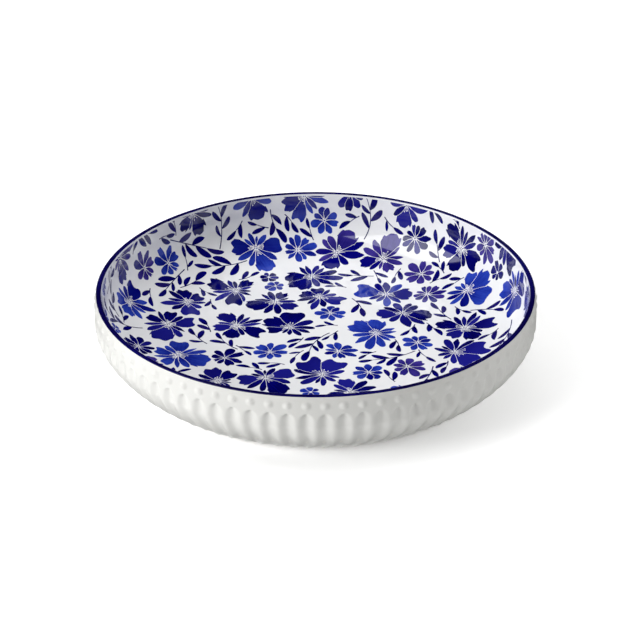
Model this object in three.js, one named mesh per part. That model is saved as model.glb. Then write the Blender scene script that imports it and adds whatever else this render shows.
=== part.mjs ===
// Porcelain serving bowl, 254 mm across the lip: a low bowl with a fluted and beaded outer wall, a
// smooth decorated inside, a cobalt band over the lip and a bare foot ring.
// Millimetres, +Z up. The origin is the centre of the face that the bowl rests on.
//
// The bowl is one fired piece made in layers, and each layer is a solid of its own here: the clay
// body, the foot ring luted under it, the relief coat of the outer wall, the glaze of the inside,
// the glaze under the floor and the colour band on the lip. LAYER_GAP keeps their faces apart.

import * as THREE from 'three';

// Outer wall
const HEIGHT = 46.5;
const LIP_RADIUS = 127;
const BELLY_RADIUS = 128.4;
const BELLY_HEIGHT = 28;
const HEEL_RADIUS = 98.3;        // where the wall's curve would meet the table
const HEEL_FULLNESS = 1.48;      // 1 is a straight cone, 2 is a quarter ellipse
const TURNING_HEIGHT = 1.7;      // lower edge of the relief coat

// Inside
const LIP_THICKNESS = 3.2;
const LIP_ROUNDING = 1.0;
const LIP_SHOULDER = 0.3;        // where the lip's rounding passes from the side to the top
const CLAY_LIP_CHAMFER = 0.5;
const FLOOR_TOP = 8.4;
const FLOOR_RADIUS = 76;
const INNER_WALL_RADIUS = 123.2;
const INNER_WALL_HEIGHT = 37;    // the inner wall stands straight above this
const INNER_FULLNESS = 2.35;
const INNER_STEPS = 8;           // facets down the curved part of the inner wall

// Layers
const LAYER_GAP = 0.1;           // between layers that lie on each other
const SIDE_GAP = 0.3;            // between the foot ring and the glaze on either side of it
const COAT_THICKNESS = 1.35;     // under the ridges of the relief
const COAT_LIP_THICKNESS = 0.5;
const GLAZE_THICKNESS = 0.45;
const BAND_THICKNESS = 0.45;
const BAND_DROP = 0.95;          // how far the band comes down from the top of the lip

// Foot and underside
const FOOT_OUTER_RADIUS = 102.3;
const FOOT_INNER_RADIUS = 95.6;
const FOOT_LAND_WIDTH = 3.2;     // width of the flat ring that rests on the table
const FOOT_LAND_RADIUS = 99;     // middle of that flat ring
const FOOT_BEVEL = 0.5;
const BASE_GLAZE_POOL = 0.3;     // how far the glaze under the floor thins out at its edge
const UNDERSIDE_HEIGHT = 3.1;    // underside of the clay body

// Relief: one flute and one bead to each pitch
const FLUTE_COUNT = 80;
const COLUMNS_PER_FLUTE = 3;
const FLUTE_DEPTH = 1.2;
const FLUTE_BOTTOM = 5;          // the hollow fades in from here
const FLUTE_FULL_BOTTOM = 11;
const FLUTE_SHOULDER = 31;       // the arched top of a flute starts here
const FLUTE_APEX = 36;
const BEAD_HEIGHT = 41;          // height of the row of beads above the flutes
const BEAD_RISE = 0.8;
const BEAD_HALF_HEIGHT = 1.9;
const HEEL_BEAD_HEIGHT = 4.6;    // height of the row of beads under the flutes
const HEEL_BEAD_RISE = 0.7;

// Relief coat
const WAIST_HEIGHT = 18;         // between the belly and the heel
const SHOULDER_MIDDLE = 33;      // inside the arched top of a flute
const COAT_LIP_FOOT = 43.6;      // the coat thickens below this
const COAT_FULL_HEIGHT = 39;     // and has its full thickness below this

const TURN = Math.PI * 2;

// Radius of the smooth outer wall at height z, before any relief.
function outerRadius(z) {
  if (z >= BELLY_HEIGHT) {
    const rise = (z - BELLY_HEIGHT) / (HEIGHT - BELLY_HEIGHT);
    return BELLY_RADIUS - (BELLY_RADIUS - LIP_RADIUS) * rise ** 2;
  }
  const drop = 1 - z / BELLY_HEIGHT;
  const reach = (1 - drop ** HEEL_FULLNESS) ** (1 / HEEL_FULLNESS);
  return HEEL_RADIUS + (BELLY_RADIUS - HEEL_RADIUS) * reach;
}

// Points of the bowl's inside from the lip down to the axis, moved outwards by `inset`.
function innerProfile(inset, topZ) {
  const points = [new THREE.Vector2(LIP_RADIUS - LIP_THICKNESS + inset, topZ)];
  const wide = INNER_WALL_RADIUS - FLOOR_RADIUS;
  const tall = INNER_WALL_HEIGHT - FLOOR_TOP;
  for (let i = 0; i <= INNER_STEPS; i++) {
    const turn = (Math.PI / 2) * (1 - i / INNER_STEPS);
    const across = Math.sin(turn) ** (2 / INNER_FULLNESS);
    const down = Math.cos(turn) ** (2 / INNER_FULLNESS);
    const corner = inset * Math.SQRT1_2;
    const outwards = i === 0 ? inset : i === INNER_STEPS ? 0 : corner;
    const under = i === 0 ? 0 : i === INNER_STEPS ? inset : corner;
    points.push(new THREE.Vector2(
      FLOOR_RADIUS + wide * across + outwards,
      INNER_WALL_HEIGHT - tall * down - under,
    ));
  }
  points.push(new THREE.Vector2(0, FLOOR_TOP - inset));
  return points;
}

// A solid of revolution about the Z axis, facets in step with the flutes.
function turned(points) {
  const geometry = new THREE.LatheGeometry(points, FLUTE_COUNT);
  geometry.rotateX(Math.PI / 2);
  return geometry;
}

function profile(pairs) {
  return pairs.map(([radius, z]) => new THREE.Vector2(radius, z));
}

// Depth of a flute at height z; `phase` runs 0 to 1 across one pitch, 0.5 along the hollow.
function fluteDepth(z, phase) {
  if (z <= FLUTE_BOTTOM || z >= FLUTE_APEX) return 0;
  const fade = Math.min(1, (z - FLUTE_BOTTOM) / (FLUTE_FULL_BOTTOM - FLUTE_BOTTOM));
  const arch = Math.max(0, (z - FLUTE_SHOULDER) / (FLUTE_APEX - FLUTE_SHOULDER));
  const width = Math.sqrt(1 - arch ** 2);
  const across = Math.abs(phase - 0.5) / width;
  return across >= 0.5 ? 0 : FLUTE_DEPTH * fade * Math.cos(Math.PI * across) ** 2;
}

// Height of the beads over the wall; only the ring through their middles stands out.
function beadRise(z, phase) {
  const onHollow = phase > 0.1 && phase < 0.9;
  if (onHollow && z === BEAD_HEIGHT) return BEAD_RISE;
  if (onHollow && z === HEEL_BEAD_HEIGHT) return HEEL_BEAD_RISE;
  return 0;
}

// One ring of points, anticlockwise from -Y, at height z.
function ring(count, z, radiusAt) {
  const points = [];
  for (let i = 0; i < count; i++) {
    const angle = (i / count) * TURN;
    const radius = radiusAt((i * FLUTE_COUNT / count) % 1);
    points.push([radius * Math.sin(angle), -radius * Math.cos(angle), z]);
  }
  return points;
}

// A ring-shaped solid through rings given up the outside and down the inside. Neighbouring rings
// may have different numbers of points.
function lofted(rings) {
  const positions = [];
  const starts = [];
  for (const points of rings) {
    starts.push(positions.length / 3);
    for (const point of points) positions.push(...point);
  }
  const triangles = [];
  for (let k = 0; k < rings.length; k++) {
    const next = (k + 1) % rings.length;
    const n = rings[k].length;
    const m = rings[next].length;
    const a = (i) => starts[k] + (i % n);
    const b = (j) => starts[next] + (j % m);
    let i = 0;
    let j = 0;
    while (i < n || j < m) {
      if (j === m || (i < n && (i + 1) * m <= (j + 1) * n)) {
        triangles.push(a(i), a(i + 1), b(j));
        i++;
      } else {
        triangles.push(a(i), b(j + 1), b(j));
        j++;
      }
    }
  }
  const geometry = new THREE.BufferGeometry();
  geometry.setAttribute('position', new THREE.Float32BufferAttribute(positions, 3));
  geometry.setIndex(triangles);
  geometry.computeVertexNormals();
  return geometry;
}

// Heights of the rings down the smooth back of the relief coat, and how thick the coat is there.
const coatBack = [
  [HEIGHT - BAND_DROP, COAT_LIP_THICKNESS],
  [COAT_LIP_FOOT, COAT_LIP_THICKNESS],
  [COAT_FULL_HEIGHT, COAT_THICKNESS],
  [BELLY_HEIGHT, COAT_THICKNESS],
  [WAIST_HEIGHT + 1, COAT_THICKNESS],
  [FLUTE_FULL_BOTTOM + 1, COAT_THICKNESS],
  [HEEL_BEAD_HEIGHT + BEAD_HALF_HEIGHT + 0.5, COAT_THICKNESS],
  [UNDERSIDE_HEIGHT + LAYER_GAP, COAT_THICKNESS],
];

// Clay body: the floor and the wall in one, with its rounded lip under the colour band.
function bodyGeometry() {
  const outside = coatBack
    .map(([z, thickness]) => [outerRadius(z) - thickness - LAYER_GAP, z])
    .reverse();
  const lipInner = LIP_RADIUS - LIP_THICKNESS + GLAZE_THICKNESS + LAYER_GAP;
  const lipTop = HEIGHT - BAND_THICKNESS - LAYER_GAP;
  const lipOuter = outside[outside.length - 1][0];
  return turned([
    ...profile([[0, UNDERSIDE_HEIGHT], [outside[0][0], UNDERSIDE_HEIGHT]]),
    ...profile(outside.slice(1)),
    ...profile([
      [lipOuter - CLAY_LIP_CHAMFER, lipTop],
      [lipInner + CLAY_LIP_CHAMFER, lipTop],
    ]),
    ...innerProfile(GLAZE_THICKNESS + LAYER_GAP, HEIGHT - BAND_DROP),
  ]);
}

// Foot ring: bare ground clay, flat where it rests on the table.
function footGeometry() {
  const top = UNDERSIDE_HEIGHT - LAYER_GAP;
  const landOuter = FOOT_LAND_RADIUS + FOOT_LAND_WIDTH / 2;
  const landInner = FOOT_LAND_RADIUS - FOOT_LAND_WIDTH / 2;
  return turned(profile([
    [landInner, 0],
    [landOuter, 0],
    [landOuter + FOOT_BEVEL, FOOT_BEVEL],
    [FOOT_OUTER_RADIUS, top],
    [FOOT_INNER_RADIUS, top],
    [landInner - FOOT_BEVEL, FOOT_BEVEL],
    [landInner, 0],
  ]));
}

// Relief coat: white glaze over moulded flutes and beads, with a lower edge that turns in under
// the wall as far as the foot ring.
function coatGeometry() {
  const outerCount = FLUTE_COUNT * COLUMNS_PER_FLUTE;
  const half = BEAD_HALF_HEIGHT;
  const outerHeights = [
    TURNING_HEIGHT, HEEL_BEAD_HEIGHT - half, HEEL_BEAD_HEIGHT, HEEL_BEAD_HEIGHT + half,
    FLUTE_FULL_BOTTOM, WAIST_HEIGHT, BELLY_HEIGHT, SHOULDER_MIDDLE, FLUTE_APEX,
    BEAD_HEIGHT - half, BEAD_HEIGHT, BEAD_HEIGHT + half, HEIGHT - BAND_DROP,
  ];
  const rings = outerHeights.map((z) => ring(
    outerCount, z, (phase) => outerRadius(z) - fluteDepth(z, phase) + beadRise(z, phase),
  ));
  for (const [z, thickness] of coatBack.slice(0, -1)) {
    rings.push(ring(FLUTE_COUNT, z, () => outerRadius(z) - thickness));
  }
  const [lowestZ, lowestThickness] = coatBack[coatBack.length - 1];
  const flangeTop = UNDERSIDE_HEIGHT - LAYER_GAP;
  const flangeRadius = FOOT_OUTER_RADIUS + SIDE_GAP;
  rings.push(ring(FLUTE_COUNT, flangeTop, () => outerRadius(lowestZ) - lowestThickness));
  rings.push(ring(FLUTE_COUNT, flangeTop, () => flangeRadius));
  return lofted(rings);
}

// Inner glaze: the smooth lining of the bowl, which carries the decoration.
function liningGeometry() {
  const top = HEIGHT - BAND_DROP;
  return turned([
    ...innerProfile(GLAZE_THICKNESS, top).reverse(),
    ...innerProfile(0, top),
  ]);
}

// Glaze under the floor, inside the foot ring.
function baseGlazeGeometry() {
  const top = UNDERSIDE_HEIGHT - LAYER_GAP;
  const edge = FOOT_INNER_RADIUS - SIDE_GAP;
  return turned(profile([
    [0, top - GLAZE_THICKNESS],
    [edge - GLAZE_THICKNESS, top - GLAZE_THICKNESS],
    [edge, top - GLAZE_THICKNESS + BASE_GLAZE_POOL],
    [edge, top],
    [0, top],
  ]));
}

// Colour band: bent over the lip from the outer wall to the inner one.
function bandGeometry() {
  const outer = LIP_RADIUS;
  const inner = LIP_RADIUS - LIP_THICKNESS;
  const bottom = HEIGHT - BAND_DROP + LAYER_GAP;
  const under = HEIGHT - BAND_THICKNESS;
  return turned(profile([
    [outer - BAND_THICKNESS, bottom],
    [outer, bottom],
    [outer - LIP_SHOULDER, HEIGHT - LIP_SHOULDER],
    [outer - LIP_ROUNDING, HEIGHT],
    [inner + LIP_ROUNDING, HEIGHT],
    [inner + LIP_SHOULDER, HEIGHT - LIP_SHOULDER],
    [inner, bottom],
    [inner + BAND_THICKNESS, bottom],
    [inner + LIP_ROUNDING, under],
    [outer - LIP_ROUNDING, under],
    [outer - BAND_THICKNESS, bottom],
  ]));
}

function piece(name, geometry, color, roughness) {
  const material = new THREE.MeshStandardMaterial({ color, roughness, metalness: 0 });
  const mesh = new THREE.Mesh(geometry, material);
  mesh.name = name;
  return mesh;
}

const bowl = new THREE.Group();
bowl.add(
  piece('porcelain_body', bodyGeometry(), 0xefeee8, 0.6),
  piece('foot_ring', footGeometry(), 0xe2ded2, 0.85),
  piece('outer_glaze', coatGeometry(), 0xf4f4f1, 0.18),
  piece('inner_glaze', liningGeometry(), 0xf3f3f5, 0.08),
  piece('base_glaze', baseGlazeGeometry(), 0xf4f4f1, 0.18),
  piece('rim_band', bandGeometry(), 0x14145a, 0.12),
);

export default bowl;
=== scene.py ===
"""Porcelain serving bowl: the looks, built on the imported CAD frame.

The bowl's layers are turned again from the same curves as the CAD layers, fine enough to show the
moulded flutes and beads. The blue floral print is a layer of thin shapes inlaid in the lining. It
is designed flat, on the lining unrolled to a disc, and then laid on the curved surface.
"""
import math
import random
from collections import namedtuple

import bpy
import numpy as np
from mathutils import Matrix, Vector
from mathutils.geometry import delaunay_2d_cdt


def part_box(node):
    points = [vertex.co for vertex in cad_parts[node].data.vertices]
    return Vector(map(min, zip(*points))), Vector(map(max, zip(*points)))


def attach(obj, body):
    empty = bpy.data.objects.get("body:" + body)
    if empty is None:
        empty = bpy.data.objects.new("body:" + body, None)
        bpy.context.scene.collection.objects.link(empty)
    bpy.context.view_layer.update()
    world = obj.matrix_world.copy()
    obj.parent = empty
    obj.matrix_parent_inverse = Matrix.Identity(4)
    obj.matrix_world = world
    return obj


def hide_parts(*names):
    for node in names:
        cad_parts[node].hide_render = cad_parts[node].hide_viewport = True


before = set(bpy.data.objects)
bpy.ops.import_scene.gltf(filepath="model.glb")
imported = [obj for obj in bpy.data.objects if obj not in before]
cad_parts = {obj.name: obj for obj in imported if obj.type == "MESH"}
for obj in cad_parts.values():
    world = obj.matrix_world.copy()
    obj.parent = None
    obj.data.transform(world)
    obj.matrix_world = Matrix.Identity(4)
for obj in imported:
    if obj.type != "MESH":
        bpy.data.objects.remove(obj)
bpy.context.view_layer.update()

MM = 0.001
TURN = 2 * math.pi

# ---- sizes, from the CAD frame

band_low, band_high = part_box("rim_band")
wall_low, wall_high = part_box("outer_glaze")
lining_low, lining_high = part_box("inner_glaze")
foot_low, foot_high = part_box("foot_ring")
base_low, base_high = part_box("base_glaze")
clay_low, clay_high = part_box("porcelain_body")

HEIGHT = band_high.z
BAND_BOTTOM = band_low.z
LIP_RADIUS = -band_low.y
LIP_THICKNESS = 3.2 * MM
LIP_INNER = LIP_RADIUS - LIP_THICKNESS
LIP_MIDDLE = LIP_RADIUS - LIP_THICKNESS / 2
LIP_ROUNDNESS = 2.5                # power of the lip's section: 2 is round, more is squarer
BAND_EDGE = math.radians(28)       # white shows on the lip up to this turn from level
BAND_INSET = 0.6 * MM              # how far the band's underside stops short of the lip's sides
LIP_EDGE_POINTS = 8                # points along each white edge of the lip

# Outer wall
BELLY_RADIUS = LIP_RADIUS + 1.4 * MM
BELLY_HEIGHT = 28 * MM
HEEL_RADIUS = 98.3 * MM
HEEL_FULLNESS = 1.48
TURNING_HEIGHT = wall_low.z
COAT_THICKNESS = 1.35 * MM
COAT_LIP_THICKNESS = 0.5 * MM
COAT_TAPER_BOTTOM = 39 * MM        # the coat thins between these heights
COAT_TAPER_TOP = 43.6 * MM
LOW_WALL_HEIGHT = 12 * MM
LAYER_GAP = 0.1 * MM

# Inside
GLAZE_THICKNESS = 0.45 * MM
FLOOR_TOP = lining_low.z + GLAZE_THICKNESS
FLOOR_RADIUS = 76 * MM
INNER_WALL_RADIUS = LIP_INNER - 0.6 * MM
INNER_WALL_HEIGHT = 37 * MM
INNER_FULLNESS = 2.35
CURVE_POINTS = 900                 # points along the inner curve before it is resampled

# Relief of the outer wall
FLUTES = 80
FLUTE_DEPTH = 1.2 * MM
FLUTE_BOTTOM = 5 * MM
FLUTE_FULL_BOTTOM = 11 * MM
FLUTE_SHOULDER = 31 * MM
FLUTE_APEX = 36 * MM
BEAD_HEIGHT = 41 * MM
BEAD_RADIUS = 2.6 * MM
BEAD_RISE = 0.78 * MM
HEEL_BEAD_HEIGHT = 4.6 * MM
HEEL_BEAD_RADIUS = 2.4 * MM
HEEL_BEAD_RISE = 0.7 * MM


# ---- curves of the bowl

def outer_radius(z):
    """Radius of the smooth outer wall at the heights z."""
    z = np.asarray(z, float)
    rise = np.clip((z - BELLY_HEIGHT) / (HEIGHT - BELLY_HEIGHT), 0, 1)
    above = BELLY_RADIUS - (BELLY_RADIUS - LIP_RADIUS) * rise ** 2
    drop = np.clip(1 - z / BELLY_HEIGHT, 0, 1)
    reach = (1 - drop ** HEEL_FULLNESS) ** (1 / HEEL_FULLNESS)
    below = HEEL_RADIUS + (BELLY_RADIUS - HEEL_RADIUS) * reach
    return np.where(z >= BELLY_HEIGHT, above, below)


def over_lip(start, end, count):
    """Radii and heights over the rounded lip, for turns from 0 outside to half a turn inside."""
    turn = np.linspace(start, end, count)
    power = 2 / LIP_ROUNDNESS
    across = np.copysign(np.abs(np.cos(turn)) ** power, np.cos(turn))
    radii = LIP_MIDDLE + LIP_THICKNESS / 2 * across
    return radii, BAND_BOTTOM + (HEIGHT - BAND_BOTTOM) * np.sin(turn).clip(0) ** power


def inner_curve(count):
    """Radii and heights of the inner wall, from the edge of the floor up to the band."""
    turn = np.linspace(0, math.pi / 2, count)
    across = np.sin(turn) ** (2 / INNER_FULLNESS)
    down = np.cos(turn).clip(0) ** (2 / INNER_FULLNESS)
    radii = FLOOR_RADIUS + (INNER_WALL_RADIUS - FLOOR_RADIUS) * across
    heights = INNER_WALL_HEIGHT - (INNER_WALL_HEIGHT - FLOOR_TOP) * down
    upright = np.linspace(0, 1, 6)[1:]
    radii = np.append(radii, radii[-1] + (LIP_INNER - radii[-1]) * upright)
    heights = np.append(heights, heights[-1] + (BAND_BOTTOM - heights[-1]) * upright)
    lip_radii, lip_heights = over_lip(math.pi, math.pi - BAND_EDGE, LIP_EDGE_POINTS)
    return np.append(radii, lip_radii[1:]), np.append(heights, lip_heights[1:])


def lengths_along(radii, heights):
    """Distance along a curve from its first point to each of its points."""
    return np.append(0, np.cumsum(np.hypot(np.diff(radii), np.diff(heights))))


def normals_along(radii, heights):
    """Unit normals of a curve, on the left of its direction, as (radial, upward)."""
    out, up = np.gradient(radii), np.gradient(heights)
    size = np.hypot(out, up)
    return -up / size, out / size


def resampled(radii, heights, step):
    """The same curve with points about one step apart."""
    run = lengths_along(radii, heights)
    at = np.linspace(0, run[-1], max(2, round(run[-1] / step) + 1))
    return np.interp(at, run, radii), np.interp(at, run, heights)


class Lining:
    """The inside of the bowl, unrolled: the distance from the centre along the surface is the
    distance from the centre of a flat disc."""

    radii, heights = inner_curve(CURVE_POINTS)
    run = FLOOR_RADIUS + lengths_along(radii, heights)
    normal_out, normal_up = normals_along(radii, heights)
    reach = run[-1]

    @classmethod
    def place(cls, flat, lift):
        """Points in space for points of the flat disc, raised by `lift`, and their normals."""
        run = np.hypot(flat[:, 0], flat[:, 1])
        aim = flat / np.maximum(run, 1e-9)[:, None]
        on_floor = run < FLOOR_RADIUS
        radius = np.where(on_floor, run, np.interp(run, cls.run, cls.radii))
        height = np.where(on_floor, FLOOR_TOP, np.interp(run, cls.run, cls.heights))
        out = np.where(on_floor, 0, np.interp(run, cls.run, cls.normal_out))
        up = np.where(on_floor, 1, np.interp(run, cls.run, cls.normal_up))
        normals = np.column_stack([aim * out[:, None], up])
        points = np.column_stack([aim * radius[:, None], height])
        return points + normals * lift, normals


# ---- mesh helpers

def mesh_object(name, points, faces, sharp_angle=40):
    """A smooth-shaded mesh object, sharp where faces meet at more than the angle, in degrees."""
    mesh = bpy.data.meshes.new(name)
    mesh.from_pydata(points, [], faces)
    mesh.update()
    mesh.shade_smooth()
    mesh.set_sharp_from_angle(angle=math.radians(sharp_angle))
    made = bpy.data.objects.new(name, mesh)
    bpy.context.collection.objects.link(made)
    return made


def ring_faces(first, second, count):
    """Quads between two rings that start at the given vertex numbers."""
    return [
        (first + i, first + (i + 1) % count, second + (i + 1) % count, second + i)
        for i in range(count)
    ]


def turned(name, profile, columns, sharp_angle=40):
    """A solid of revolution. The profile runs anticlockwise, seen with the axis on the left. It
    starts and ends on the axis, or is a closed loop clear of it."""
    angles = np.arange(columns) / columns * TURN
    on_axis = profile[0][0] == 0
    rings = profile[1:-1] if on_axis else profile
    points = [
        (radius * math.sin(a), -radius * math.cos(a), z) for radius, z in rings for a in angles
    ]
    faces = []
    for k in range(len(rings) - 1):
        faces += ring_faces(k * columns, (k + 1) * columns, columns)
    last = (len(rings) - 1) * columns
    if on_axis:
        low, high = len(points), len(points) + 1
        points += [(0, 0, profile[0][1]), (0, 0, profile[-1][1])]
        faces += [(low, (i + 1) % columns, i) for i in range(columns)]
        faces += [(high, last + i, last + (i + 1) % columns) for i in range(columns)]
    else:
        faces += ring_faces(last, 0, columns)
    return mesh_object(name, points, faces, sharp_angle)


def keep(piece, node):
    """Hangs a piece under the root body and hides the CAD node that it stands for."""
    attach(piece, "root")
    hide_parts(node)


# ---- outer wall with its relief

FLUTE_COLUMNS = 12                 # columns of the mesh across one flute
ROW_STEP = 0.62 * MM
WALL_POINTS = 4000                 # points along the outer curve before it is resampled


def flute_depth(z, phase):
    """Depth of the flutes at heights z. The phase is 0 on a ridge and 0.5 along a hollow."""
    fade = np.clip((z - FLUTE_BOTTOM) / (FLUTE_FULL_BOTTOM - FLUTE_BOTTOM), 0, 1)
    fade = fade * fade * (3 - 2 * fade)
    arch = np.clip((z - FLUTE_SHOULDER) / (FLUTE_APEX - FLUTE_SHOULDER), 0, 0.999)
    across = np.abs(phase - 0.5) / np.sqrt(1 - arch ** 2)
    hollow = np.cos(math.pi * np.clip(across, 0, 0.5)) ** 2
    return FLUTE_DEPTH * fade * hollow * (z < FLUTE_APEX)


def bead(distance, radius, rise):
    """Height of a round bead with a soft foot, at distances from its middle."""
    return rise * np.clip(1 - (distance / radius) ** 2, 0, 1) ** 1.5


def relief_wall():
    """The white relief coat: flutes, the beads over them and the small beads at the heel."""
    heights = np.linspace(TURNING_HEIGHT, BAND_BOTTOM, WALL_POINTS)
    lip_radii, lip_heights = over_lip(0, BAND_EDGE, LIP_EDGE_POINTS)
    radii = np.append(outer_radius(heights), lip_radii[1:])
    heights = np.append(heights, lip_heights[1:])
    radii, heights = resampled(radii, heights, ROW_STEP)
    run = lengths_along(radii, heights)
    normal_in, normal_up = normals_along(radii, heights)
    columns = FLUTES * FLUTE_COLUMNS
    phase = (np.arange(columns) % FLUTE_COLUMNS) / FLUTE_COLUMNS
    angles = np.arange(columns) / columns * TURN
    along = np.abs(phase - 0.5) * TURN / FLUTES

    lift = -flute_depth(heights[:, None], phase[None, :])
    for at, size, rise in (
        (BEAD_HEIGHT, BEAD_RADIUS, BEAD_RISE),
        (HEEL_BEAD_HEIGHT, HEEL_BEAD_RADIUS, HEEL_BEAD_RISE),
    ):
        beyond = run - np.interp(at, heights, run)
        distance = np.hypot(beyond[:, None], along[None, :] * radii[:, None])
        lift = lift + bead(distance, size, rise)

    radius = radii[:, None] - normal_in[:, None] * lift
    height = heights[:, None] - normal_up[:, None] * lift
    back = [
        (BAND_BOTTOM, COAT_LIP_THICKNESS),
        (COAT_TAPER_TOP, COAT_LIP_THICKNESS),
        (COAT_TAPER_BOTTOM, COAT_THICKNESS),
        (BELLY_HEIGHT, COAT_THICKNESS),
        (LOW_WALL_HEIGHT, COAT_THICKNESS),
        (foot_high.z + LAYER_GAP, COAT_THICKNESS),
    ]
    rings = [(radius[k], height[k]) for k in range(len(heights))]
    for z, thickness in back:
        rings.append((np.full(columns, float(outer_radius(z)) - thickness), np.full(columns, z)))
    flange = foot_high.y + 3 * LAYER_GAP
    rings.append((np.full(columns, flange), np.full(columns, foot_high.z)))

    points = np.concatenate([
        np.column_stack([r * np.sin(angles), -r * np.cos(angles), z]) for r, z in rings
    ])
    faces = []
    for k in range(len(rings)):
        faces += ring_faces(k * columns, (k + 1) % len(rings) * columns, columns)
    return mesh_object("relief_wall", points.tolist(), faces, sharp_angle=55)


relief = relief_wall()
keep(relief, "outer_glaze")


# ---- turned layers

INNER_COLUMNS = 480
BAND_COLUMNS = 600
FOOT_COLUMNS = 320
CLAY_COLUMNS = 160
INNER_STEP = 0.9 * MM
CLAY_STEP = 4 * MM
BAND_POINTS = 17
LINING_BACK = 0.35 * MM            # thickness of the lining as shown
FLOOR_RINGS = [12 * MM, 36 * MM, 58 * MM]
FOOT_OUTER = 100.6 * MM            # edges of the flat face that the bowl stands on
FOOT_INNER = 97.4 * MM
FOOT_SPREAD = 1.8 * MM
FOOT_BEVEL = 0.5 * MM
FOOT_BEVEL_STEPS = 5
CLAY_CHAMFER = 0.5 * MM


def lining():
    """The glossy lining of the inside, one thin closed shell."""
    radii, heights = resampled(*inner_curve(CURVE_POINTS), INNER_STEP)
    out, up = normals_along(radii, heights)
    top = [(r, FLOOR_TOP) for r in FLOOR_RINGS] + list(zip(radii, heights))
    back = [(r, FLOOR_TOP - LINING_BACK) for r in FLOOR_RINGS]
    back += list(zip(radii - out * LINING_BACK, heights - up * LINING_BACK))
    back[-1] = (LIP_INNER + LINING_BACK, BAND_BOTTOM)
    back[-2] = (LIP_INNER + LINING_BACK, BAND_BOTTOM - INNER_STEP)
    centre = [(0, FLOOR_TOP)]
    return turned(
        "lining",
        [(0, FLOOR_TOP - LINING_BACK)] + back + top[::-1] + centre,
        INNER_COLUMNS,
    )


def rim_band():
    """The cobalt band over the top of the lip, between the white edges of the coat and lining."""
    over = list(zip(*over_lip(BAND_EDGE, math.pi - BAND_EDGE, BAND_POINTS)))
    skirt = LIP_THICKNESS / 2 - BAND_INSET
    under = [(LIP_MIDDLE - skirt, BAND_BOTTOM), (LIP_MIDDLE + skirt, BAND_BOTTOM)]
    return turned("rim_band_glaze", over + under, BAND_COLUMNS, sharp_angle=50)


def foot():
    """The foot ring, ground flat where it stands and softened at its edges."""
    turns = [math.pi / 2 * k / FOOT_BEVEL_STEPS for k in range(FOOT_BEVEL_STEPS + 1)]
    bevel = [(FOOT_BEVEL * math.sin(a), FOOT_BEVEL * (1 - math.cos(a))) for a in turns]
    profile = [(FOOT_OUTER + out, z) for out, z in bevel]
    profile.append((foot_high.y, foot_high.z))
    profile.append((FOOT_INNER - FOOT_SPREAD, foot_high.z))
    profile += [(FOOT_INNER - out, z) for out, z in bevel[::-1]]
    return turned("foot", profile, FOOT_COLUMNS, sharp_angle=50)


def underside_glaze():
    """The glaze under the floor, thinning to a soft edge against the foot."""
    edge = base_high.y
    thick = base_high.z - base_low.z
    profile = [(0, base_low.z)]
    profile += [(edge * share, base_low.z) for share in (0.25, 0.5, 0.75, 0.93)]
    for k in range(5):
        turn = math.pi / 2 * k / 4
        profile.append((
            edge - thick * (1 - math.sin(turn)),
            base_low.z + thick * 0.7 * (1 - math.cos(turn)),
        ))
    profile += [(edge, base_high.z), (0, base_high.z)]
    return turned("underside_glaze", profile, FOOT_COLUMNS)


def clay():
    """The clay between the glazes, seen only where the layers end."""
    gap = LAYER_GAP
    heights = [clay_low.z, 7 * MM, LOW_WALL_HEIGHT, 19 * MM, BELLY_HEIGHT, COAT_TAPER_BOTTOM]
    outside = [(float(outer_radius(z)) - COAT_THICKNESS - gap, z) for z in heights]
    lip_outer = float(outer_radius(COAT_TAPER_TOP)) - COAT_LIP_THICKNESS - gap
    inset = GLAZE_THICKNESS + gap
    radii, heights = resampled(*inner_curve(CURVE_POINTS), CLAY_STEP)
    out, up = normals_along(radii, heights)
    inside = list(zip(radii - out * inset, heights - up * inset))
    inside = [(r, z) for r, z in inside if z < INNER_WALL_HEIGHT]
    inside.append((LIP_INNER + inset, BAND_BOTTOM - gap))
    profile = [(0, clay_low.z)] + outside
    profile += [(lip_outer, COAT_TAPER_TOP), (lip_outer, clay_high.z - CLAY_CHAMFER)]
    profile.append((lip_outer - CLAY_CHAMFER, clay_high.z))
    profile.append((inside[-1][0] + CLAY_CHAMFER, clay_high.z))
    profile += inside[::-1] + [(0, FLOOR_TOP - inset)]
    return turned("clay", profile, CLAY_COLUMNS)


lining_piece = lining()
band_piece = rim_band()
foot_piece = foot()
underside_piece = underside_glaze()
clay_piece = clay()
keep(lining_piece, "inner_glaze")
keep(band_piece, "rim_band")
keep(foot_piece, "foot_ring")
keep(underside_piece, "base_glaze")
keep(clay_piece, "porcelain_body")


# ---- shapes of the print, in mm

# One painted shape: its outline, the white margin that it cuts out of shapes under it (or None),
# the line from its root to its tip, and a tint from 0 to 1.
Ink = namedtuple("Ink", "outline margin root tip tint")
# A motif: painted shapes, lowest first, the outlines left white over them, and seeds painted over
# the white.
Motif = namedtuple("Motif", "inks reserves seeds")

rng = random.Random(4127)
WHITE_LINE = 0.28                  # width of the white line between petals
TIP_SPAN = 1.5                     # turn of a petal's outline, each way, that the teeth take
WOBBLE = 0.025                     # how uneven the brush leaves a petal's edge
EYE_RADIUS = 1.05                  # white middle of a large flower
EYE_EDGE = 0.8                     # where the white lines between its petals start
STAMEN_ROOT = 1.2
SEED_RING = 0.85
SEED_RADIUS = 0.42
STAMEN_TIP = 0.45
STAMENS = (-0.2, 0.05, 0.25)       # where the stamens stand across a broad petal
EYED_DAISY = 7                     # daisies of more than this radius have lines and a seed
SPRIG_POINTS = 12
STEM_WIDTHS = (0.72, 0.5)          # at its foot and at its tip
LEAF_FULLNESS = 0.8                # a lower power makes leaves fuller at their ends
FIRST_LEAF = 0.3                   # where along the stem the leaves start
LEAVES_SPAN = 0.62

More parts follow.
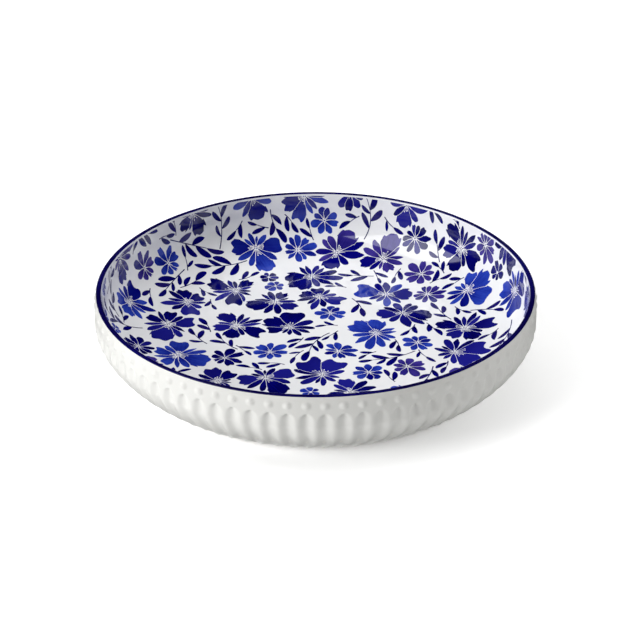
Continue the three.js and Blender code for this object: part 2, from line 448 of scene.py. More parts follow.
# How the petals of a large flower vary: share of the turn, length as a share of the flower's
# reach, fullness, root power, numbers of teeth, their depth, and points of the outline.
Petal = namedtuple("Petal", "share length fullness root teeth notch points")
BROAD = Petal((1.5, 2.1), (0.95, 1.12), 1.27, 1.2, [3, 4, 5], 0.13, 50)
SLIM = Petal((0.8, 1.1), (0.64, 1.02), 1.08, 1.1, [0, 0, 0, 2], 0.08, 28)
BROAD_TIP = 0.36
SLIM_TIPS = (0.45, 0.75)


def petal_outline(length, width, root, tip, teeth, notch, curve, points=30):
    """A petal from the origin along +Y, curving to one side. A larger root power narrows its root,
    a larger tip power points its tip, and teeth are notches of uneven depth in the tip."""
    turn = np.linspace(-math.pi, math.pi, points, endpoint=False)
    t = (1 + np.cos(turn)) / 2
    shape = t ** root * (1 - t) ** tip
    x = np.sign(turn) * width / 2 * shape / shape.max()
    y = length * t
    if teeth:
        place = (turn / TIP_SPAN + 1) / 2 * teeth
        wave = (0.5 - 0.5 * np.cos(TURN * place)) ** 2
        depth = np.array([rng.uniform(0.4, 1.4) for _ in range(teeth)])
        wave = wave * depth[place.astype(int).clip(0, teeth - 1)]
        y = y - length * notch * wave * (np.abs(turn) < TIP_SPAN)
    return np.column_stack([x + curve * y ** 2 / length, y])


def leaf_outline(length, width, belly, bend, points=22):
    """A pointed leaf from the origin along +Y, widest at `belly`, bent to one side."""
    half = points // 2
    t = (1 - np.cos(np.linspace(0, math.pi, half + 1))) / 2
    shape = (t * (1 - t) ** (1 / belly - 1)) ** LEAF_FULLNESS
    shape = width / 2 * shape / shape.max()
    middle = bend * length * (t - t ** 2) * 4
    left = np.column_stack([middle - shape, length * t])
    right = np.column_stack([middle + shape, length * t])
    return np.concatenate([left, right[-2:0:-1]])


def stroke_outline(points, widths):
    """A brush stroke along a line of points, with a width at each of them."""
    points = np.asarray(points, float)
    run = np.gradient(points, axis=0)
    side = np.column_stack([-run[:, 1], run[:, 0]])
    side /= np.hypot(side[:, 0], side[:, 1])[:, None]
    offset = side * np.asarray(widths)[:, None] / 2
    return np.concatenate([points - offset, (points + offset)[::-1]])


def dot_outline(x, y, radius, points=7):
    """A round dot."""
    turn = np.arange(points) / points * TURN
    return np.column_stack([x + radius * np.cos(turn), y + radius * np.sin(turn)])


def moved(outline, angle, x=0.0, y=0.0):
    """An outline turned by an angle, then moved."""
    c, s = math.cos(angle), math.sin(angle)
    return outline @ np.array([[c, s], [-s, c]]) + (x, y)


def polar(angle, run):
    """The point at a distance from the origin, at an angle anticlockwise from +Y."""
    return (-run * math.sin(angle), run * math.cos(angle))


def rough(outline, amount):
    """Uneven as a brush leaves it: slow waves round the outline."""
    phase = rng.uniform(0, TURN)
    turn = np.arange(len(outline)) / len(outline) * TURN
    wave = np.sin(3 * turn + phase) + 0.6 * np.sin(7 * turn + 2 * phase)
    return outline + (outline - outline.mean(0)) * (amount * wave)[:, None]


def grown(outline, amount):
    """The outline moved outwards all round."""
    before, after = np.roll(outline, 1, 0), np.roll(outline, -1, 0)
    run = after - before
    size = np.hypot(run[:, 0], run[:, 1]).clip(1e-6)
    twice_area = (outline[:, 0] * after[:, 1] - after[:, 0] * outline[:, 1]).sum()
    side = 1 if twice_area > 0 else -1
    return outline + side * amount * np.column_stack([run[:, 1], -run[:, 0]]) / size[:, None]


def petal_ink(angle, length, shape):
    """A painted petal with a white margin, at an angle round its flower."""
    outline = moved(rough(shape, WOBBLE), angle)
    return Ink(outline, grown(outline, WHITE_LINE), (0, 0), polar(angle, length), rng.random())


def seed(x, y, radius):
    """A dot painted over the white middle of a flower."""
    return Ink(dot_outline(x, y, radius), None, (0, 0), (0, 1), 0)


def star_line(angle, start, end, wide, narrow):
    """A straight line out from the middle of a flower, between two distances, that narrows."""
    line = [polar(angle, run) for run in (start, (start + end) / 2, end)]
    return stroke_outline(line, [wide, (wide + narrow) / 2, narrow])


def flower(radius, broad, slim):
    """A large open flower: broad petals with ragged tips among slim pointed ones, and fine white
    stamens round its middle. It leans, so its petals are longer on one side."""
    kinds = [BROAD] * broad + [SLIM] * slim
    rng.shuffle(kinds)
    shares = [rng.uniform(*kind.share) for kind in kinds]
    lean = rng.uniform(0.1, 0.28)
    lean_to = rng.uniform(0, TURN)
    edge = rng.uniform(0, TURN)
    inks, reserves = [], []
    for kind, share in zip(kinds, shares):
        span = share / sum(shares) * TURN
        angle = edge + span / 2 + rng.uniform(-0.05, 0.05)
        reach = radius * (1 + lean * math.cos(angle - lean_to))
        curve = rng.uniform(-0.12, 0.12)
        length = reach * rng.uniform(*kind.length)
        width = length * kind.fullness * math.tan(span / 2)
        teeth = rng.choice(kind.teeth)
        tip = BROAD_TIP if kind is BROAD else rng.uniform(*SLIM_TIPS)
        shape = petal_outline(length, width, kind.root, tip, teeth, kind.notch, curve, kind.points)
        inks.append(petal_ink(angle, length, shape))
        reserves.append(star_line(edge, EYE_EDGE, length * rng.uniform(0.22, 0.34), 0.55, 0.2))
        if kind is BROAD:
            for side in STAMENS:
                end = length * rng.uniform(0.2, 0.34)
                reserves.append(star_line(angle + side * span, STAMEN_ROOT, end, 0.34, 0.3))
                reserves.append(dot_outline(*polar(angle + side * span, end), STAMEN_TIP))
        edge += span
    rng.shuffle(inks)
    reserves.append(dot_outline(0, 0, EYE_RADIUS, 9))
    seeds = [seed(*polar(k * TURN / 4, SEED_RING), SEED_RADIUS) for k in range(4)]
    return Motif(inks, reserves, seeds)


def daisy(radius, petals, notched=0.4):
    """A smaller flower: separate petals round a small white eye."""
    inks, reserves, seeds = [], [], []
    first = rng.uniform(0, TURN)
    lean_to = rng.uniform(0, TURN)
    span = TURN / petals
    for k in range(petals):
        angle = first + (k + rng.uniform(-0.12, 0.12)) * span
        length = radius * rng.uniform(0.8, 1.08) * (1 + 0.14 * math.cos(angle - lean_to))
        width = length * 1.15 * math.tan(span / 2) * rng.uniform(0.8, 1.2)
        teeth = rng.choice([2, 3]) if rng.random() < notched else 0
        curve = rng.uniform(-0.1, 0.1)
        tip = rng.uniform(0.36, 0.55)
        shape = petal_outline(length, width, 1.05, tip, teeth, 0.1, curve)
        inks.append(petal_ink(angle, length, shape))
        if radius > EYED_DAISY:
            reserves.append(star_line(angle + span / 2, 0.3, radius * 0.34, 0.42, 0.18))
    rng.shuffle(inks)
    reserves.append(dot_outline(0, 0, min(1.0, radius * 0.13)))
    if radius > EYED_DAISY:
        seeds.append(seed(0, 0, 0.5))
    return Motif(inks, reserves, seeds)


def sprig(length, leaves, leaf_length, bend):
    """A curved stem with leaves on alternate sides and one at its end."""
    t = np.linspace(0, 1, SPRIG_POINTS)
    line = np.column_stack([bend * length * 4 * t * (1 - t), length * (t - 0.5)])
    stem = stroke_outline(line, np.linspace(*STEM_WIDTHS, SPRIG_POINTS))
    inks = [Ink(stem, None, line[0], line[-1], 0.2)]
    run = np.gradient(line, axis=0)
    side = rng.choice([-1, 1])
    for k in range(leaves):
        last = k == leaves - 1
        at = 1.0 if last else FIRST_LEAF + LEAVES_SPAN * k / (leaves - 1)
        index = round(at * (SPRIG_POINTS - 1))
        heading = math.atan2(-run[index, 0], run[index, 1])
        heading += rng.uniform(-0.15, 0.15) if last else side * rng.uniform(0.5, 0.8)
        size = leaf_length * rng.uniform(0.75, 1.2)
        width = size * rng.uniform(0.29, 0.38)
        shape = leaf_outline(size, width, rng.uniform(0.5, 0.62), rng.uniform(-0.09, 0.09))
        root = tuple(line[index])
        tip = tuple(line[index] + polar(heading, size))
        inks.append(Ink(moved(shape, heading, *root), None, root, tip, rng.random()))
        side = -side
    return Motif(inks, [], [])


# ---- layout of the print, in mm

REACH = Lining.reach / MM
CELL = 0.5                         # side of a cell of the grid that records what is taken
GRID_MARGIN = 12                   # how far the grid runs past the lining
GRID = int(2 * (REACH + GRID_MARGIN) / CELL) + 1
LEAST_SHOWN = 0.4                  # share of a motif that has to lie on the lining

taken = np.zeros((GRID, GRID), bool)
placed = {"deep": [], "royal": [], "violet": [], "sprig": []}
HALO = 2.0                         # width of the halo by which a motif feels its neighbours


def inside(points, outline):
    """Which points lie inside a closed outline."""
    x, y = points[:, 0], points[:, 1]
    result = np.zeros(len(points), bool)
    previous = outline[-1]
    for corner in outline:
        crosses = (corner[1] > y) != (previous[1] > y)
        rise = previous[1] - corner[1]
        if rise:
            edge_x = corner[0] + (y - corner[1]) * (previous[0] - corner[0]) / rise
            result ^= crosses & (x < edge_x)
        previous = corner
    return result


def covered_by(motif, points, spread=0.0):
    """Which points lie in the painted shapes of a motif, each grown by `spread`."""
    result = np.zeros(len(points), bool)
    for ink in motif.inks:
        result |= inside(points, grown(ink.outline, spread) if spread else ink.outline)
    return result


def footprint(motif):
    """Points a cell apart that cover a motif, and points in a narrow halo round it."""
    corners = np.concatenate([ink.outline for ink in motif.inks])
    low, high = corners.min(0) - HALO, corners.max(0) + HALO
    grid = np.array(np.meshgrid(
        np.arange(low[0], high[0] + CELL, CELL),
        np.arange(low[1], high[1] + CELL, CELL),
    )).reshape(2, -1).T
    painted = covered_by(motif, grid)
    near = covered_by(motif, grid, HALO) & ~painted
    return np.concatenate([grid[painted], corners]), grid[near]


def cells(points):
    """Grid cells of points, as two index arrays, clipped to the grid."""
    index = ((points + REACH + GRID_MARGIN) / CELL).astype(int).clip(0, GRID - 1)
    return index[:, 0], index[:, 1]


def disc_offsets(radius):
    """Steps from a cell to all the cells within a radius of it."""
    span = int(math.ceil(radius / CELL))
    steps = np.arange(-span, span + 1)
    grid = np.array(np.meshgrid(steps, steps)).reshape(2, -1).T
    return grid[np.hypot(grid[:, 0], grid[:, 1]) * CELL <= radius]


def claim(points, clearance):
    """Marks the cells within the clearance of some points as taken."""
    column, row = cells(points)
    spots = np.unique(np.column_stack([column, row]), axis=0)
    for dx, dy in disc_offsets(clearance):
        taken[(spots[:, 0] + dx).clip(0, GRID - 1), (spots[:, 1] + dy).clip(0, GRID - 1)] = True


def scatter(designs, tones, most, clearance, tries, edge, apart=False):
    """Lays motifs on the disc one by one, each where it touches nothing. Out of many random places
    it takes the one farthest from the others of this call, if they are to stand apart. Otherwise it
    takes the one where its halo meets its neighbours most, so that the white gaps are even."""
    prints = [footprint(motif) for motif in designs]
    centres = []
    for _ in range(most):
        best, best_score = None, -1.0
        for _ in range(tries):
            run = (REACH + edge) * math.sqrt(rng.random())
            bearing = rng.uniform(0, TURN)
            x, y = run * math.cos(bearing), run * math.sin(bearing)
            if taken[cells(np.array([[x, y]]))][0]:
                continue
            if apart:
                score = min((math.dist((x, y), centre) for centre in centres), default=REACH)
                if score <= best_score:
                    continue
            which = rng.randrange(len(designs))
            angle = rng.uniform(0, TURN)
            body, halo = prints[which]
            spots = moved(body, angle, x, y)
            within = np.hypot(spots[:, 0], spots[:, 1]) < REACH
            if within.mean() < LEAST_SHOWN or (taken[cells(spots)] & within).any():
                continue
            if not apart:
                score = taken[cells(moved(halo, angle, x, y))].mean()
            if score > best_score:
                best, best_score = (which, angle, x, y, spots), score
        if best is None:
            break
        which, angle, x, y, spots = best
        claim(spots, clearance)
        placed[tones[len(centres) % len(tones)]].append((designs[which], angle, x, y))
        centres.append((x, y))


def flowers(count, low, high, make, *choices):
    """Different large flowers or daisies: radii from low to high, the rest drawn from choices."""
    return [
        make(rng.uniform(low, high), *(rng.choice(choice) for choice in choices))
        for _ in range(count)
    ]


def leafy(count, low, high, leaves, leaf_length, bend):
    """Different sprigs: lengths from low to high, bent either way."""
    return [
        sprig(rng.uniform(low, high), leaves, leaf_length, rng.uniform(-bend, bend))
        for _ in range(count)
    ]


large = flowers(18, 14.5, 18, flower, [2, 3, 3, 4], [6, 7, 8])
medium = flowers(12, 9.5, 12, daisy, [8, 9, 10])
small = flowers(8, 5.8, 7.2, daisy, [5, 6], [0.2])
tiny = flowers(5, 3.8, 4.6, daisy, [5], [0])
long_sprigs = leafy(16, 22, 29, 5, 11, 0.14)
short_sprigs = leafy(16, 12, 17, 3, 11, 0.1)
twigs = leafy(10, 6, 9, 2, 9.5, 0.08)

LARGE_TONES = ["deep", "royal", "deep", "violet", "deep", "royal"]
SMALL_TONES = ["royal", "deep", "royal", "violet", "royal"]
SPRIG_TONES = ["sprig"]
scatter(large, LARGE_TONES, 24, 0.7, 400, edge=4, apart=True)
scatter(medium, SMALL_TONES, 10, 0.7, 400, edge=4, apart=True)
scatter(long_sprigs, SPRIG_TONES, 16, 0.6, 900, edge=2)
scatter(large, LARGE_TONES, 26, 0.7, 900, edge=4)
scatter(medium, SMALL_TONES, 24, 0.7, 700, edge=4)
scatter(short_sprigs, SPRIG_TONES, 60, 0.5, 1200, edge=2)
scatter(small, SMALL_TONES, 12, 0.6, 500, edge=2)
scatter(twigs, SPRIG_TONES, 70, 0.4, 900, edge=1)
scatter(tiny, SMALL_TONES, 12, 0.5, 500, edge=1)


# ---- the print on the lining

PRINT_LIFT = 0.035 * MM
PRINT_DEPTH = 0.12 * MM
PRINT_REACH = REACH - 1.2          # a white line is left between the print and the band
ACROSS_SPAN = 16.0                 # width in mm over which the place across a petal runs
TINT_STEPS = 8
WALL_POINT_STEP = 1.5
FLOOR_POINT_STEP = 5.0
ROW_SHARE = 0.87                   # distance between the rows of a staggered grid, in steps
EDGE_ARC = 26.0                    # half the length of the edge line laid under a motif
EDGE_POINTS = 40
LEAST_AREA = 1e-6


def inner_points(low, high, step):
    """A staggered grid of points inside a box."""
    points = []
    rows = int((high[1] - low[1]) / (step * ROW_SHARE)) + 1
    for row in range(rows):
        shift = step / 2 if row % 2 else 0
        y = low[1] + row * step * ROW_SHARE
        xs = np.arange(low[0] + shift, high[0], step)
        points += [(x, y) for x in xs]
    return np.array(points).reshape(-1, 2)


def triangulated(design, angle, x, y):
    """Triangles of one motif laid out in the flat disc: corner points and two notes for each
    corner. The first is its place along its petal. The second is the petal's tint step plus its
    place across the petal."""
    inks = [
        Ink(
            moved(ink.outline, angle, x, y),
            None if ink.margin is None else moved(ink.margin, angle, x, y),
            moved(np.array([ink.root], float), angle, x, y)[0],
            moved(np.array([ink.tip], float), angle, x, y)[0],
            ink.tint,
        )
        for ink in (*design.inks, *design.seeds)
    ]
    first_seed = len(design.inks)
    reserves = [moved(outline, angle, x, y) for outline in design.reserves]
    loops = [ink.outline for ink in inks]
    loops += [ink.margin for ink in inks if ink.margin is not None]
    loops += reserves
    everything = np.concatenate([ink.outline for ink in inks])
    low, high = everything.min(0), everything.max(0)
    farthest = np.hypot(everything[:, 0], everything[:, 1]).max()
    step = WALL_POINT_STEP if farthest > FLOOR_RADIUS / MM else FLOOR_POINT_STEP
    loose = inner_points(low, high, step)
    covered = np.zeros(len(loose), bool)
    for ink in inks:
        covered |= inside(loose, ink.outline)
    loose = loose[covered]

    points, edges = [], []
    for loop in loops:
        start = len(points)
        points += [Vector(corner) for corner in loop]
        edges += [(start + i, start + (i + 1) % len(loop)) for i in range(len(loop))]
    if farthest > PRINT_REACH:
        middle = math.atan2(y, x)
        half = EDGE_ARC / PRINT_REACH
        start = len(points)
        for k in range(EDGE_POINTS):
            bearing = middle - half + 2 * half * k / (EDGE_POINTS - 1)
            points.append(PRINT_REACH * Vector((math.cos(bearing), math.sin(bearing))))
        edges += [(start + k, start + k + 1) for k in range(EDGE_POINTS - 1)]
    points += [Vector(spot) for spot in loose]
    made, _, faces, _, _, _ = delaunay_2d_cdt(points, edges, [], 0, 1e-5, False)
    made = np.array([tuple(point) for point in made])
    faces = np.array(faces)
    corners = made[faces]
    middles = corners.mean(1)

    owner = np.full(len(faces), -1)
    open_to = np.hypot(middles[:, 0], middles[:, 1]) < PRINT_REACH
    for number in range(len(inks) - 1, first_seed - 1, -1):
        hit = open_to & inside(middles, inks[number].outline)
        owner[hit] = number
        open_to &= ~hit
    for outline in reserves:
        open_to &= ~inside(middles, outline)
    for number in range(first_seed - 1, -1, -1):
        hit = open_to & inside(middles, inks[number].outline)
        owner[hit] = number
        open_to &= ~hit
        if inks[number].margin is not None:
            open_to &= ~inside(middles, inks[number].margin)

    painted = owner >= 0
    faces, corners, owner = faces[painted], corners[painted], owner[painted]
    first, second = corners[:, 1] - corners[:, 0], corners[:, 2] - corners[:, 0]
    area = first[:, 0] * second[:, 1] - first[:, 1] * second[:, 0]
    solid = np.abs(area) > LEAST_AREA
    faces, corners, owner, area = faces[solid], corners[solid], owner[solid], area[solid]
    flip = area < 0
    faces[flip] = faces[flip][:, ::-1]
    corners[flip] = corners[flip][:, ::-1]
    roots = np.array([ink.root for ink in inks])[owner]
    axes = np.array([ink.tip for ink in inks])[owner] - roots
    away = corners - roots[:, None]
    along = (away * axes[:, None]).sum(2) / (axes ** 2).sum(1)[:, None]
    reach = np.hypot(axes[:, 0], axes[:, 1])[:, None]
    across = (away[:, :, 0] * axes[:, None, 1] - away[:, :, 1] * axes[:, None, 0]) / reach
    across = (0.5 + across / ACROSS_SPAN).clip(0.02, 0.98)
    tints = np.floor(np.array([ink.tint for ink in inks])[owner] * TINT_STEPS)
    notes = np.stack([along.clip(0, 1), tints[:, None] + across], axis=2)
    return made, faces, notes


def apart_at_pinches(faces):
    """Vertex numbers for the corners of triangles, with a vertex split where only it, and no edge,
    joins two groups of triangles."""
    parent = list(range(faces.size))

    def find(i):
        """The corner that stands for the group that corner i is in."""
        while parent[i] != i:
            parent[i] = parent[parent[i]]
            i = parent[i]
        return i

    seen = {}
    for number, face in enumerate(faces.tolist()):
        for k in range(3):
            a, b = face[k], face[(k + 1) % 3]
            here = (number * 3 + k, number * 3 + (k + 1) % 3)
            there = seen.pop((b, a), None)
            if there is None:
                seen[(a, b)] = here
            else:
                parent[find(here[0])] = find(there[1])
                parent[find(here[1])] = find(there[0])
    roots = np.array([find(i) for i in range(faces.size)])
    _, first, numbers = np.unique(roots, return_index=True, return_inverse=True)
    return numbers.reshape(faces.shape), faces.reshape(-1)[first], list(seen.values())


def print_piece(name, motifs):
    """One closed thin layer for every motif of a tone."""
    flats, triangles, notes, start = [], [], [], 0
    for motif in motifs:
        made, faces, note = triangulated(*motif)
        flats.append(made)
        triangles.append(faces + start)
        notes.append(note)
        start += len(made)
    flat = np.concatenate(flats) * MM
    faces, origins, rim = apart_at_pinches(np.concatenate(triangles))
    note = np.concatenate(notes).reshape(-1, 2)
    flat = flat[origins]
    top, normals = Lining.place(flat, PRINT_LIFT)
    bottom, _ = Lining.place(flat, PRINT_LIFT - PRINT_DEPTH)
    count = len(top)
    corner_numbers = faces.reshape(-1)
    sides, side_notes, side_normals = [], [], []
    for first, second in rim:
        a, b = corner_numbers[first], corner_numbers[second]
        sides.append((a, a + count, b + count, b))
        side_notes += [note[first], note[first], note[second], note[second]]
        side_normals += [normals[a], normals[a], normals[b], normals[b]]
    every = faces.tolist() + (faces[:, ::-1] + count).tolist() + sides
    made = mesh_object(name, np.concatenate([top, bottom]).tolist(), every, sharp_angle=30)
    mesh = made.data
    layer = mesh.uv_layers.new(name="ink")
    back_notes = note.reshape(-1, 3, 2)[:, ::-1].reshape(-1, 2)
    layer.data.foreach_set("uv", np.concatenate([note, back_notes, side_notes]).ravel())
    top_normals = normals[corner_numbers]
    back_normals = -normals[faces[:, ::-1].reshape(-1)]
    mesh.normals_split_custom_set(
        np.concatenate([top_normals, back_normals, side_normals]).tolist()
    )
    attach(made, "root")
    return made


deep_flowers = print_piece("print_flowers_deep", placed["deep"])
royal_flowers = print_piece("print_flowers_royal", placed["royal"])
violet_flowers = print_piece("print_flowers_violet", placed["violet"])
sprigs = print_piece("print_sprigs", placed["sprig"])


# ---- materials

GLAZE_IOR = 1.57                   # clear gloss glaze over the print
INK_ROUGHNESS = 0.06
STREAKS = 13                       # brush streaks over the span of the place across a petal
STREAK_WAVER = 1.3
RIPPLE_SCALE = 420
RIPPLE_HEIGHT = 0.05 * MM
LIT_HEEL_HEIGHT = 10 * MM              # glaze is painted whiter below this height: painted light for the floor's light on the foot of the wall


def new_material(name, roughness, ior=1.5):
    """A Principled material: its node tree, its shader and its object-space coordinates."""
    material = bpy.data.materials.new(name)
    material.use_nodes = True
    tree = material.node_tree
    shader = tree.nodes["Principled BSDF"]
    shader.inputs["Roughness"].default_value = roughness
    shader.inputs["IOR"].default_value = ior
    where = tree.nodes.new("ShaderNodeTexCoord").outputs["Object"]
    return material, tree, shader, where


def noise(tree, where, scale, detail=2.0, roughness=0.5):
    """A noise value over a vector socket."""
    node = tree.nodes.new("ShaderNodeTexNoise")
    node.inputs["Scale"].default_value = scale
    node.inputs["Detail"].default_value = detail
    node.inputs["Roughness"].default_value = roughness
    tree.links.new(where, node.inputs["Vector"])
    return node.outputs["Fac"]


def ramp(tree, source, stops):
    """A colour ramp over a value; each stop is (position, colour)."""
    node = tree.nodes.new("ShaderNodeValToRGB")
    band = node.color_ramp
    while len(band.elements) < len(stops):
        band.elements.new(0.5)
    for element, (position, colour) in zip(band.elements, stops):
        element.position = position
        element.color = (*colour, 1)
    tree.links.new(source, node.inputs["Fac"])
    return node.outputs["Color"]


def bump(tree, shader, source, strength, distance):
    """Bumps the shader's normal by a value."""
    node = tree.nodes.new("ShaderNodeBump")
    node.inputs["Strength"].default_value = strength
    node.inputs["Distance"].default_value = distance
    tree.links.new(source, node.inputs["Height"])
    tree.links.new(node.outputs["Normal"], shader.inputs["Normal"])


def math_node(tree, operation, first, second):
    """Arithmetic on two values, each a socket or a number."""
    node = tree.nodes.new("ShaderNodeMath")
    node.operation = operation
    for socket, value in zip(node.inputs, (first, second)):
        if isinstance(value, (int, float)):
            socket.default_value = value
        else:
            tree.links.new(value, socket)
    return node.outputs["Value"]


def blend(tree, share, colour, other):
    """A colour socket that goes over to another colour as the share rises."""
    mix = tree.nodes.new("ShaderNodeMix")
    mix.data_type = "RGBA"
    tree.links.new(share, mix.inputs["Factor"])
    tree.links.new(colour, mix.inputs["A"])
    mix.inputs["B"].default_value = (*other, 1)
    return mix.outputs["Result"]


def glaze(name, light, dark, roughness, ripple, ior=1.5, lit_heel=None):
    """Fired glaze: a little uneven in colour, with a faint orange-peel ripple. Given a second
    white, it is painted whiter low on the wall: painted light, standing for the light thrown up
    from the floor onto the foot of the wall."""
    material, tree, shader, where = new_material(name, roughness, ior)
    cloud = noise(tree, where, 28, 3)
    colour = ramp(tree, cloud, [(0.35, dark), (0.65, light)])
    if lit_heel:
        parts = tree.nodes.new("ShaderNodeSeparateXYZ")
        tree.links.new(where, parts.inputs["Vector"])
        share = math_node(tree, "DIVIDE", parts.outputs["Z"], LIT_HEEL_HEIGHT)
        lit_heel_share = ramp(tree, share, [(0.35, (1, 1, 1)), (1.0, (0, 0, 0))])
        colour = blend(tree, lit_heel_share, colour, lit_heel)
    tree.links.new(colour, shader.inputs["Base Color"])
    bump(tree, shader, noise(tree, where, RIPPLE_SCALE), ripple, RIPPLE_HEIGHT)
    return material


def painted(name, root, tip, other):
    """Brush-painted colour under clear glaze. Each petal runs from its root's colour to its tip's
    with streaks along it, and some petals lean to another shade."""
    material, tree, shader, where = new_material(name, INK_ROUGHNESS, GLAZE_IOR)
    map_node = tree.nodes.new("ShaderNodeUVMap")
    map_node.uv_map = "ink"
    parts = tree.nodes.new("ShaderNodeSeparateXYZ")
    tree.links.new(map_node.outputs["UV"], parts.inputs["Vector"])
    place = parts.outputs["X"]
    step = math_node(tree, "FLOOR", parts.outputs["Y"], 0.0)
    across = math_node(tree, "FRACT", parts.outputs["Y"], 0.0)
    brush = tree.nodes.new("ShaderNodeCombineXYZ")
    tree.links.new(math_node(tree, "MULTIPLY", across, STREAKS), brush.inputs["X"])
    tree.links.new(math_node(tree, "MULTIPLY", place, STREAK_WAVER), brush.inputs["Y"])
    tree.links.new(math_node(tree, "MULTIPLY", step, 3.7), brush.inputs["Z"])
    streak = noise(tree, brush.outputs["Vector"], 1, 3, 0.6)
    wash = noise(tree, where, 120, 2, 0.6)
    spread = math_node(tree, "ADD", math_node(tree, "MULTIPLY", streak, 1.1), wash)
    along = math_node(tree, "ADD", math_node(tree, "MULTIPLY", place, 0.7), spread)
    along = math_node(tree, "SUBTRACT", along, 0.9)
    colour = ramp(tree, along, [(0.1, root), (0.85, tip)])
    drift = noise(tree, where, 14, 1)
    lean = math_node(tree, "ADD", math_node(tree, "MULTIPLY", step, 0.5 / TINT_STEPS), drift)
    share = ramp(tree, lean, [(0.74, (0, 0, 0)), (1.0, (1, 1, 1))])
    tree.links.new(blend(tree, share, colour, other), shader.inputs["Base Color"])
    bump(tree, shader, noise(tree, where, RIPPLE_SCALE), 0.03, RIPPLE_HEIGHT)
    return material


def fired_clay(name, light, dark, roughness):
    """Bare fired clay: matt, speckled and finely grained."""
    material, tree, shader, where = new_material(name, roughness)
    speck = noise(tree, where, 900, 4, 0.7)
    tree.links.new(ramp(tree, speck, [(0.3, dark), (0.6, light)]), shader.inputs["Base Color"])
    bump(tree, shader, noise(tree, where, 2200, 3), 0.4, 0.08 * MM)
    return material


NAVY = (0.001, 0.001, 0.15)
NAVY_DARK = (0.001, 0.001, 0.075)
ROYAL = (0.022, 0.05, 0.40)
ROYAL_DARK = (0.003, 0.008, 0.20)
VIOLET = (0.045, 0.03, 0.25)
VIOLET_DARK = (0.012, 0.008, 0.12)
INDIGO = (0.012, 0.012, 0.22)

# The outer glaze is painted much whiter on the foot of the wall and underneath: painted light from
# the floor.
white_glaze = glaze("white_glaze", (0.61, 0.61, 0.59), (0.59, 0.59, 0.57), 0.28, 0.05,
                    lit_heel=(0.93, 0.93, 0.91))
# Both stand for the same white glaze. The outer glaze's warmer tint is its own, but its much darker
# white than the lining's is painted shade on the outer wall.
lining_glaze = glaze("lining_glaze", (0.795, 0.8, 0.81), (0.775, 0.78, 0.79), 0.06, 0.03,
                     GLAZE_IOR)
cobalt = glaze("cobalt_band", (0.004, 0.003, 0.085), (0.002, 0.001, 0.045), 0.1, 0.03)
bare = fired_clay("bare_foot", (0.70, 0.67, 0.61), (0.56, 0.52, 0.46), 0.85)
body = fired_clay("clay_body", (0.78, 0.76, 0.71), (0.70, 0.68, 0.63), 0.7)

looks = [
    (relief, white_glaze),
    (underside_piece, white_glaze),
    (lining_piece, lining_glaze),
    (band_piece, cobalt),
    (foot_piece, bare),
    (clay_piece, body),
    (deep_flowers, painted("ink_deep", NAVY, NAVY_DARK, INDIGO)),
    (royal_flowers, painted("ink_royal", ROYAL_DARK, ROYAL, NAVY)),
    (violet_flowers, painted("ink_violet", VIOLET_DARK, VIOLET, NAVY)),
    (sprigs, painted("ink_sprigs", NAVY_DARK, NAVY, VIOLET_DARK)),
]
for piece, material in looks:
    piece.data.materials.append(material)
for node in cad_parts.values():
    node.data.materials.clear()
    node.data.materials.append(white_glaze)


# ---- floor, lights and camera

FLOOR_GLOW = 0.19                  # the floor is a lit white table
FAR_GLOW = 0.9                     # and the backdrop beyond it is white
TABLE_EDGE = 0.75                  # distance from the bowl where the table's glow starts to rise
BACKDROP = 3.0                     # distance where it is the backdrop's
FLOOR_HALF = 6.0
LIGHT_DISTANCE = 1.7


def plain_floor():
    """A large pale floor that the glaze doesn't mirror."""
    half = FLOOR_HALF
    corners = [(-half, -half, 0), (half, -half, 0), (half, half, 0), (-half, half, 0)]
    floor = mesh_object("floor", corners, [(0, 1, 2, 3)])
    material, tree, shader, where = new_material("floor_paper", 0.9)
    shader.inputs["Specular IOR Level"].default_value = 0.0
    shader.inputs["Emission Strength"].default_value = 1.0
    away = tree.nodes.new("ShaderNodeVectorMath")
    away.operation = "LENGTH"
    tree.links.new(where, away.inputs[0])
    share = math_node(tree, "DIVIDE", away.outputs["Value"], BACKDROP)
    glow = ramp(tree, share, [(TABLE_EDGE / BACKDROP, (FLOOR_GLOW,) * 3), (1.0, (FAR_GLOW,) * 3)])
    tree.links.new(glow, shader.inputs["Emission Color"])
    grain = noise(tree, where, 3, 1)
    colours = [(0.3, (0.93, 0.93, 0.93)), (0.7, (0.95, 0.95, 0.95))]
    tree.links.new(ramp(tree, grain, colours), shader.inputs["Base Color"])
    floor.data.materials.append(material)
    floor.visible_glossy = False


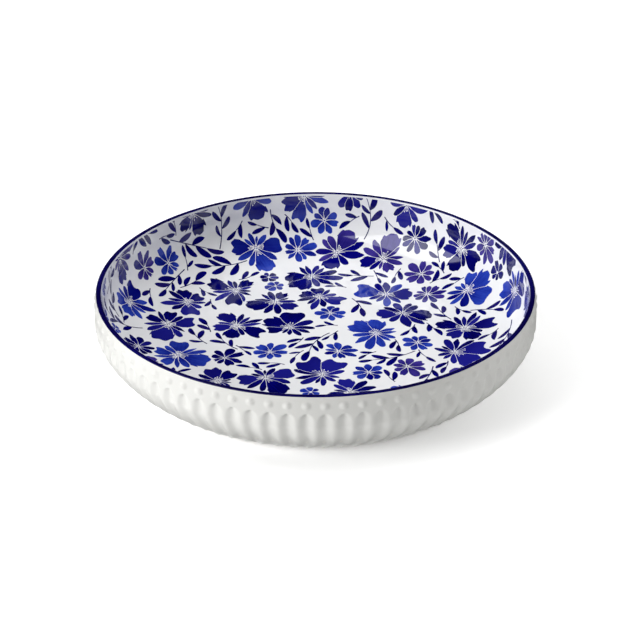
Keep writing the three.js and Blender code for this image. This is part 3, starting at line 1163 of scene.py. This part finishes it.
def soft_light(name, bearing, height, size, power, mirrored=False):
    """A square soft light aimed at the bowl. Its bearing is 0 at the camera and negative on the
    left, and its height is above the horizon, both in degrees. It either lights the surfaces or is
    only mirrored in the glaze."""
    data = bpy.data.lights.new(name, "AREA")
    data.shape = "SQUARE"
    data.size = size
    data.energy = power
    around, above = math.radians(bearing), math.radians(height)
    aim = Vector((
        math.cos(above) * math.sin(around),
        -math.cos(above) * math.cos(around),
        math.sin(above),
    ))
    light = bpy.data.objects.new(name, data)
    light.location = Vector((0, 0, HEIGHT / 2)) + aim * LIGHT_DISTANCE
    light.rotation_euler = aim.to_track_quat("Z", "Y").to_euler()
    light.visible_glossy = mirrored
    light.visible_diffuse = not mirrored
    bpy.context.collection.objects.link(light)


plain_floor()
soft_light("key", -92, 53, 1.0, 9.5)
soft_light("softbox", -74, 50, 1.35, 19.0, mirrored=True)
soft_light("side_fill", -63, 20, 0.8, 29.5)
soft_light("rear", -176, 65, 1.0, 9.0)
soft_light("right_rear", 120, 55, 1.0, 7.9)
soft_light("right", 85, 35, 1.0, 11.2)

# The world is only a white ground behind the floor, and lights nothing.
world = bpy.data.worlds.new("studio")
world.use_nodes = True
ground = world.node_tree.nodes["Background"]
ground.inputs["Color"].default_value = (1, 1, 1, 1)
ground.inputs["Strength"].default_value = FAR_GLOW
world.cycles_visibility.diffuse = False
world.cycles_visibility.glossy = False
world.cycles_visibility.transmission = False
world.cycles_visibility.scatter = False
bpy.context.scene.world = world
bpy.context.scene.view_settings.view_transform = "Standard"

CAMERA_DISTANCE = 1.2              # from the middle of the lip
CAMERA_ELEVATION = 27.72
CAMERA_DROP = 0.98                 # it looks this far below the middle of the lip
CAMERA_PAN = 0.14                  # and this far to the right of it
CAMERA_LENS = 116.4

camera_data = bpy.data.cameras.new("camera")
camera_data.lens = CAMERA_LENS
camera_data.clip_end = 30          # beyond the far corners of the floor
camera = bpy.data.objects.new("camera", camera_data)
elevation = math.radians(CAMERA_ELEVATION)
camera.location = (
    0,
    -CAMERA_DISTANCE * math.cos(elevation),
    HEIGHT + CAMERA_DISTANCE * math.sin(elevation),
)
camera.rotation_euler = (
    math.radians(90 - CAMERA_ELEVATION - CAMERA_DROP),
    0,
    -math.radians(CAMERA_PAN),
)
bpy.context.collection.objects.link(camera)
bpy.context.scene.camera = camera
